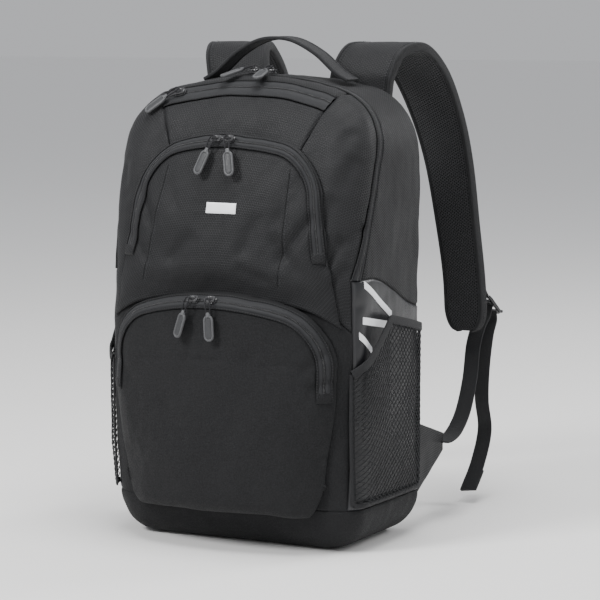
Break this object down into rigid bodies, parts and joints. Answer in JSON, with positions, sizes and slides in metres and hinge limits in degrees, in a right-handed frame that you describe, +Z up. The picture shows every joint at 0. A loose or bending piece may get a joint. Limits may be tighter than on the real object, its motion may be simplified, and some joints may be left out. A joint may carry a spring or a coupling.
{
  "type": "school backpack",
  "caption": "Soft zipped school backpack with front pockets, mesh bottle pockets, a grab handle and adjustable padded shoulder straps.",
  "frame": {"origin": "centre of the flat foot of the bag, on the floor", "axes": "+Z up, -Y the front face with the pockets, +Y the back panel and shoulder straps, +X the right side seen from the front"},
  "size_m": [0.3218, 0.4414, 0.5305],
  "materials": {
    "ripstop": "black honeycomb ripstop, matt with a faint sheen",
    "polyester": "black textured plain-weave polyester",
    "glossy_cloth": "black coated cloth with a soft gloss",
    "lining": "grey lining cloth",
    "air_mesh": "black padded spacer mesh",
    "open_mesh": "black open knitted mesh",
    "webbing": "black woven webbing",
    "zip_tape": "black coil zip on woven tape",
    "zip_metal": "black painted zip slider",
    "gloss_plastic": "glossy black acetal",
    "rubber": "dark grey moulded rubber",
    "reflective": "white reflective tape",
    "board": "flat stiffener board"
  },
  "bodies": {
    "pack_body": {"rear_gusset_left": "ripstop", "side_panel_left": "glossy_cloth", "wing_panel_left": "ripstop", "mesh_pocket_left": "open_mesh", "reflective_trim_left": "reflective", "strap_yoke_left": "ripstop", "rear_gusset_right": "ripstop", "side_panel_right": "glossy_cloth", "wing_panel_right": "ripstop", "mesh_pocket_right": "open_mesh", "reflective_trim_right": "reflective", "strap_yoke_right": "ripstop", "rear_gusset_top": "ripstop", "front_gusset_top": "ripstop", "front_top_panel": "ripstop", "main_zip": "zip_tape", "front_zip": "zip_tape", "base_panel": "polyester", "base_board": "board", "front_panel": "polyester", "compartment_divider": "lining", "tablet_sleeve": "lining", "back_panel": "ripstop", "back_pad_left": "air_mesh", "back_pad_right": "air_mesh", "lumbar_pad": "air_mesh", "upper_pocket": "polyester", "upper_pocket_zip": "zip_tape", "lower_pocket": "polyester", "lower_pocket_zip": "zip_tape", "label_patch": "reflective"},
    "strap_left": {"shoulder_strap_left": "air_mesh", "adjuster_webbing_left": "webbing", "lock_loop_left": "webbing", "strap_anchor_left": "ripstop"},
    "lock_left": {"ladder_lock_left": "gloss_plastic"},
    "tail_left": {"webbing_tail_left": "webbing"},
    "strap_right": {"shoulder_strap_right": "air_mesh", "adjuster_webbing_right": "webbing", "lock_loop_right": "webbing", "strap_anchor_right": "ripstop"},
    "lock_right": {"ladder_lock_right": "gloss_plastic"},
    "tail_right": {"webbing_tail_right": "webbing"},
    "handle": {"top_handle": "webbing"},
    "upper_pocket_left_slider": {"upper_pocket_left_slider": "zip_metal"},
    "upper_pocket_left_pull": {"upper_pocket_left_pull": "rubber"},
    "upper_pocket_right_slider": {"upper_pocket_right_slider": "zip_metal"},
    "upper_pocket_right_pull": {"upper_pocket_right_pull": "rubber"},
    "lower_pocket_left_slider": {"lower_pocket_left_slider": "zip_metal"},
    "lower_pocket_left_pull": {"lower_pocket_left_pull": "rubber"},
    "lower_pocket_right_slider": {"lower_pocket_right_slider": "zip_metal"},
    "lower_pocket_right_pull": {"lower_pocket_right_pull": "rubber"},
    "main_left_slider": {"main_left_slider": "zip_metal"},
    "main_left_pull": {"main_left_pull": "rubber"},
    "main_right_slider": {"main_right_slider": "zip_metal"},
    "main_right_pull": {"main_right_pull": "rubber"},
    "front_slider": {"front_slider": "zip_metal"},
    "front_pull": {"front_pull": "rubber"}
  },
  "joints": [
    {"name": "handle_fold", "type": "hinge", "parent": "pack_body", "child": "handle", "pos_m": [0, 0.053, 0.4845], "axis": [1, 0, 0], "range_deg": [-12, 12]},
    {"name": "strap_left_swing", "type": "hinge", "parent": "pack_body", "child": "strap_left", "pos_m": [-0.072, 0.096, 0.47], "axis": [0.1951, 0.0064, 0.9808], "range_deg": [-10, 22]},
    {"name": "lock_left_tilt", "type": "hinge", "parent": "strap_left", "child": "lock_left", "pos_m": [-0.1324, 0.2949, 0.2375], "axis": [0.9249, 0.3802, 0], "range_deg": [0, 25]},
    {"name": "tail_left_swing", "type": "hinge", "parent": "lock_left", "child": "tail_left", "pos_m": [-0.1385, 0.312, 0.207], "axis": [0.9249, 0.3802, 0], "range_deg": [-15, 30]},
    {"name": "strap_right_swing", "type": "hinge", "parent": "pack_body", "child": "strap_right", "pos_m": [0.072, 0.096, 0.47], "axis": [0.1951, -0.0064, -0.9808], "range_deg": [-10, 22]},
    {"name": "lock_right_tilt", "type": "hinge", "parent": "strap_right", "child": "lock_right", "pos_m": [0.1324, 0.2949, 0.2375], "axis": [0.9249, -0.3802, 0], "range_deg": [0, 25]},
    {"name": "tail_right_swing", "type": "hinge", "parent": "lock_right", "child": "tail_right", "pos_m": [0.1385, 0.312, 0.207], "axis": [0.9249, -0.3802, 0], "range_deg": [-15, 30]},
    {"name": "upper_pocket_left_slide", "type": "hinge", "parent": "pack_body", "child": "upper_pocket_left_slider", "pos_m": [0.00114, -0.0473, 0.17318], "axis": [0.0009, -0.9986, -0.0525], "range_deg": [0, 9.4]},
    {"name": "upper_pocket_left_pull_lift", "type": "hinge", "parent": "upper_pocket_left_slider", "child": "upper_pocket_left_pull", "pos_m": [-0.01481, -0.07002, 0.42771], "axis": [-0.9354, 0.2465, 0.2534], "range_deg": [0, 120]},
    {"name": "upper_pocket_right_slide", "type": "hinge", "parent": "pack_body", "child": "upper_pocket_right_slider", "pos_m": [-0.00024, -0.04922, 0.1811], "axis": [0.0002, 0.9989, 0.0463], "range_deg": [0, 9.6]},
    {"name": "upper_pocket_right_pull_lift", "type": "hinge", "parent": "upper_pocket_right_slider", "child": "upper_pocket_right_pull", "pos_m": [0.0016, -0.07004, 0.42788], "axis": [-0.968, -0.1592, -0.1942], "range_deg": [0, 120]},
    {"name": "lower_pocket_left_slide", "type": "hinge", "parent": "pack_body", "child": "lower_pocket_left_slider", "pos_m": [0.0005, 0.04789, 0.06375], "axis": [-0.0008, -0.7887, -0.6148], "range_deg": [0, 10]},
    {"name": "lower_pocket_left_pull_lift", "type": "hinge", "parent": "lower_pocket_left_slider", "child": "lower_pocket_left_pull", "pos_m": [-0.02013, -0.11561, 0.26368], "axis": [-0.899, 0.3558, 0.2555], "range_deg": [0, 120]},
    {"name": "lower_pocket_right_slide", "type": "hinge", "parent": "pack_body", "child": "lower_pocket_right_slider", "pos_m": [-0.00026, 0.04753, 0.06501], "axis": [-0.0004, 0.7875, 0.6163], "range_deg": [0, 13.7]},
    {"name": "lower_pocket_right_pull_lift", "type": "hinge", "parent": "lower_pocket_right_slider", "child": "lower_pocket_right_pull", "pos_m": [0.0037, -0.11555, 0.26331], "axis": [-0.994, -0.0875, -0.0661], "range_deg": [0, 120]},
    {"name": "main_left_slide", "type": "hinge", "parent": "pack_body", "child": "main_left_slider", "pos_m": [0.00009, 0.0165, 0.14834], "axis": [0, -1, 0], "range_deg": [0, 9]},
    {"name": "main_left_pull_lift", "type": "hinge", "parent": "main_left_slider", "child": "main_left_pull", "pos_m": [-0.01296, 0.01497, 0.49997], "axis": [-0.8903, 0.4544, -0.0309], "range_deg": [0, 110]},
    {"name": "main_right_slide", "type": "hinge", "parent": "pack_body", "child": "main_right_slider", "pos_m": [0.00374, -0.07242, 0.18977], "axis": [-0.0262, 0.9586, -0.2836], "range_deg": [0, 17.2]},
    {"name": "main_right_pull_lift", "type": "hinge", "parent": "main_right_slider", "child": "main_right_pull", "pos_m": [0.00832, 0.01459, 0.49978], "axis": [-0.9941, -0.1063, 0.023], "range_deg": [0, 110]},
    {"name": "front_slide", "type": "hinge", "parent": "pack_body", "child": "front_slider", "pos_m": [-0.00008, -0.13917, 0.21323], "axis": [0.0003, 0.9078, -0.4195], "range_deg": [0, 25.9]},
    {"name": "front_pull_lift", "type": "hinge", "parent": "front_slider", "child": "front_pull", "pos_m": [-0.08131, -0.0282, 0.47593], "axis": [-0.5765, 0.6346, 0.5148], "range_deg": [0, 110]}
  ]
}
